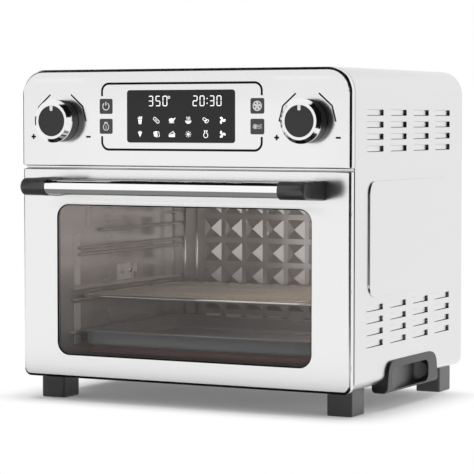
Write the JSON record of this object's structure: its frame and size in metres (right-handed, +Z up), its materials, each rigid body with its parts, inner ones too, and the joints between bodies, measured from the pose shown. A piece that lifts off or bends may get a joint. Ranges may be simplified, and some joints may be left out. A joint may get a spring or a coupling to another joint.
{
  "type": "countertop air fryer oven",
  "caption": "Countertop air fryer oven with a drop-down glass door, bar handle, control fascia with two knobs and display, wire rack, drip pan and louvred case.",
  "frame": {"origin": "on the table, under the middle of the whole oven: half way across, and half way from the front of the handle to the back of the cord gland", "axes": "+X to the right across the front, +Y from front to back, +Z up"},
  "size_m": [0.386, 0.3434, 0.3458],
  "materials": {
    "front_steel": "satin brushed with bright rolled edges",
    "case_steel": "smooth silver grey coat",
    "bright_trim": "polished",
    "inner_steel": "bright galvanised",
    "dark_plastic": "fine grain",
    "grip_plastic": "fine grain",
    "display_black": "gloss",
    "button_grey": "satin",
    "window_glass": "grey tinted",
    "lamp_glass": "clear",
    "seal": "matte",
    "foot_rubber": "matte",
    "board": "lacquered",
    "heater_tube": "dark oxidised",
    "ceramic": "unglazed",
    "motor_metal": "satin",
    "aluminium_bar": "polished tube, solid here"
  },
  "bodies": {
    "cabinet": {"base_pan": "inner_steel", "cavity_back_wall": "inner_steel", "cavity_ceiling": "inner_steel", "cavity_floor": "inner_steel", "cavity_left_wall": "inner_steel", "cavity_right_wall": "inner_steel", "control_board": "board", "cord_gland": "dark_plastic", "crumb_tray": "inner_steel", "display_lens": "display_black", "fan_chamber": "inner_steel", "fan_guard": "inner_steel", "fan_motor": "motor_metal", "fascia_panel": "front_steel", "front_frame": "inner_steel", "front_left_foot": "foot_rubber", "front_right_foot": "foot_rubber", "heater_insulators": "ceramic", "hinge_lugs": "inner_steel", "housing_wrap": "case_steel", "lamp_housing": "inner_steel", "lamp_lens": "lamp_glass", "left_encoder": "motor_metal", "left_grip": "grip_plastic", "lower_heaters": "heater_tube", "rear_cover": "case_steel", "rear_left_foot": "foot_rubber", "rear_right_foot": "foot_rubber", "right_encoder": "motor_metal", "right_grip": "grip_plastic", "separator_strip": "bright_trim", "small_screws": "bright_trim", "spit_bracket": "inner_steel", "spit_motor": "motor_metal", "upper_heater": "heater_tube"},
    "door": {"door_panel": "front_steel", "door_glass": "window_glass", "door_liner": "inner_steel", "door_gasket": "seal", "door_side_screws": "bright_trim", "handle_bar": "aluminium_bar", "handle_left_bracket": "dark_plastic", "handle_right_bracket": "dark_plastic", "hinge_yokes": "inner_steel"},
    "rack": {"wire_rack": "bright_trim"},
    "pan": {"drip_pan": "inner_steel"},
    "left_knob": {"left_knob_body": "dark_plastic", "left_knob_ring": "bright_trim", "left_knob_cap": "dark_plastic", "left_knob_shaft": "motor_metal"},
    "right_knob": {"right_knob_body": "dark_plastic", "right_knob_ring": "bright_trim", "right_knob_cap": "dark_plastic", "right_knob_shaft": "motor_metal"},
    "power_button": {"button_power": "button_grey"},
    "lamp_button": {"button_lamp": "button_grey"},
    "convection_button": {"button_convection": "button_grey"},
    "air_fry_button": {"button_air_fry": "button_grey"},
    "fan": {"fan_wheel": "inner_steel"},
    "spit_drive": {"spit_socket": "motor_metal"}
  },
  "joints": [
    {"name": "door_hinge", "type": "hinge", "parent": "cabinet", "child": "door", "pos_m": [0, -0.1185, 0.0284], "axis": [1, 0, 0], "range_deg": [0, 80]},
    {"name": "rack_slide", "type": "slide", "parent": "cabinet", "child": "rack", "axis": [0, -1, 0], "range_m": [0, 0.08]},
    {"name": "pan_slide", "type": "slide", "parent": "cabinet", "child": "pan", "axis": [0, -1, 0], "range_m": [0, 0.06]},
    {"name": "left_knob_turn", "type": "hinge", "parent": "cabinet", "child": "left_knob", "pos_m": [-0.1423, -0.14075, 0.2926], "axis": [0, -1, 0], "continuous": true},
    {"name": "right_knob_turn", "type": "hinge", "parent": "cabinet", "child": "right_knob", "pos_m": [0.1423, -0.14075, 0.2926], "axis": [0, -1, 0], "continuous": true},
    {"name": "power_press", "type": "slide", "parent": "cabinet", "child": "power_button", "axis": [0, 1, 0], "range_m": [0, 0.0012], "stiffness_N_per_m": 400, "springref_m": -0.0015},
    {"name": "lamp_press", "type": "slide", "parent": "cabinet", "child": "lamp_button", "axis": [0, 1, 0], "range_m": [0, 0.0012], "stiffness_N_per_m": 400, "springref_m": -0.0015},
    {"name": "convection_press", "type": "slide", "parent": "cabinet", "child": "convection_button", "axis": [0, 1, 0], "range_m": [0, 0.0012], "stiffness_N_per_m": 400, "springref_m": -0.0015},
    {"name": "air_fry_press", "type": "slide", "parent": "cabinet", "child": "air_fry_button", "axis": [0, 1, 0], "range_m": [0, 0.0012], "stiffness_N_per_m": 400, "springref_m": -0.0015},
    {"name": "fan_spin", "type": "hinge", "parent": "cabinet", "child": "fan", "pos_m": [0, 0.01775, 0.25], "axis": [0, 0, 1], "continuous": true},
    {"name": "spit_turn", "type": "hinge", "parent": "cabinet", "child": "spit_drive", "pos_m": [0.15, 0.03775, 0.128], "axis": [1, 0, 0], "continuous": true}
  ],
  "couplings": [
    {"joint": "rack_slide", "follows": "door_hinge", "m_per_rad": 0.057},
    {"joint": "pan_slide", "follows": "door_hinge", "m_per_rad": 0.042}
  ]
}
